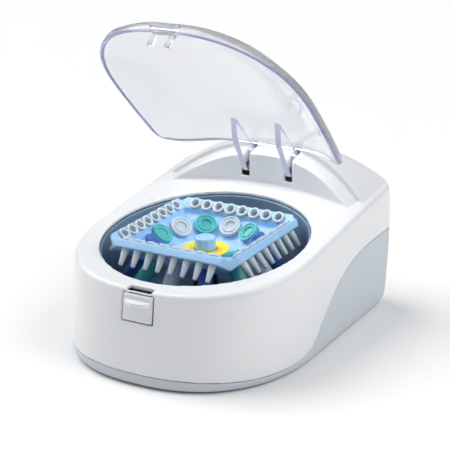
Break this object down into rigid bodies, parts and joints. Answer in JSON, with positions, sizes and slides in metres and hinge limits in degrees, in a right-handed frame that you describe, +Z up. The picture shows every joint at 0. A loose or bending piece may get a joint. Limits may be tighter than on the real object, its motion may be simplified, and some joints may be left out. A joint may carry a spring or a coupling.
{
  "type": "laboratory centrifuge",
  "caption": "Small bench centrifuge with a raised clear lid, a round bowl, a lift-out angled rotor, tube strips, capped tubes, a pull latch and a rear switch.",
  "frame": {"origin": "centre of the footprint's bounding box, on the surface the feet stand on", "axes": "+Z up, +X to the right seen from the front, -Y towards the front, where the latch is"},
  "size_m": [0.1618, 0.2091, 0.2161],
  "materials": {
    "housing_white": "satin, lightly textured",
    "base_grey": "satin",
    "bowl_grey": "satin, moulded",
    "rotor_blue": "satin",
    "label_yellow": "printed film",
    "strip_clear": "frosted clear",
    "tube_clear": "frosted clear",
    "tube_teal": "translucent",
    "tube_blue": "translucent",
    "lid_clear": "clear, polished",
    "steel": "plain",
    "motor_steel": "dark, satin",
    "black_plastic": "satin",
    "rubber": "matt",
    "board_green": "solder mask"
  },
  "bodies": {
    "base": {"lower_base": "base_grey", "upper_housing": "housing_white", "rotor_chamber": "bowl_grey", "motor": "motor_steel", "motor_plate": "steel", "isolator_1": "rubber", "isolator_2": "rubber", "isolator_3": "rubber", "hinge_pin_left": "steel", "hinge_pin_right": "steel", "latch_pin": "steel", "latch_anchor": "base_grey", "latch_spring": "steel", "lid_switch": "black_plastic", "circuit_board": "board_green", "power_inlet": "black_plastic", "rocker_bezel": "black_plastic", "base_screw_front_left": "steel", "base_screw_front_right": "steel", "base_screw_rear_left": "steel", "base_screw_rear_right": "steel", "foot_front_left": "rubber", "foot_front_right": "rubber", "foot_rear_left": "rubber", "foot_rear_right": "rubber"},
    "spindle": {"drive_shaft": "steel", "drive_hub": "black_plastic"},
    "rotor": {"rotor": "rotor_blue", "rotor_label": "label_yellow", "tube_strip_right": "strip_clear", "tube_strip_back": "strip_clear", "tube_strip_left": "strip_clear", "tube_strip_front": "strip_clear", "microtube_01": "tube_clear", "microtube_02": "tube_blue", "microtube_03": "tube_teal", "microtube_04": "tube_clear", "microtube_05": "tube_teal", "microtube_06": "tube_clear", "microtube_07": "tube_teal", "microtube_08": "tube_blue", "microtube_09": "tube_teal", "microtube_10": "tube_clear", "microtube_11": "tube_blue", "microtube_12": "tube_teal"},
    "knob": {"rotor_knob": "rotor_blue"},
    "lid": {"lid": "lid_clear", "lid_catch": "lid_clear", "hinge_arm_left": "lid_clear", "hinge_arm_right": "lid_clear"},
    "latch": {"latch_panel": "housing_white"},
    "plunger": {"switch_plunger": "rubber"},
    "rocker": {"rocker_key": "rubber"}
  },
  "joints": [
    {"name": "lid_hinge", "type": "hinge", "parent": "base", "child": "lid", "pos_m": [0, 0.076, 0.1], "axis": [-1, 0, 0], "range_deg": [-52.5, 12]},
    {"name": "spindle_spin", "type": "hinge", "parent": "base", "child": "spindle", "pos_m": [0, -0.016, 0.04], "axis": [0, 0, 1], "continuous": true},
    {"name": "rotor_lift", "type": "slide", "parent": "spindle", "child": "rotor", "axis": [0, 0, 1], "range_m": [0, 0.06]},
    {"name": "knob_turn", "type": "hinge", "parent": "rotor", "child": "knob", "pos_m": [0, -0.016, 0.065], "axis": [0, 0, 1], "continuous": true},
    {"name": "latch_pull", "type": "hinge", "parent": "base", "child": "latch", "pos_m": [0, -0.0956, 0.0424], "axis": [1, 0, 0], "range_deg": [0, 8], "stiffness_Nm_per_rad": 0.5, "springref_deg": -5.73},
    {"name": "plunger_press", "type": "slide", "parent": "base", "child": "plunger", "axis": [0, 1, 0], "range_m": [0, 0.002], "stiffness_N_per_m": 150, "springref_m": -0.002},
    {"name": "rocker_tip", "type": "hinge", "parent": "base", "child": "rocker", "pos_m": [-0.032, 0.0995, 0.022], "axis": [1, 0, 0], "range_deg": [-12, 0]}
  ]
}
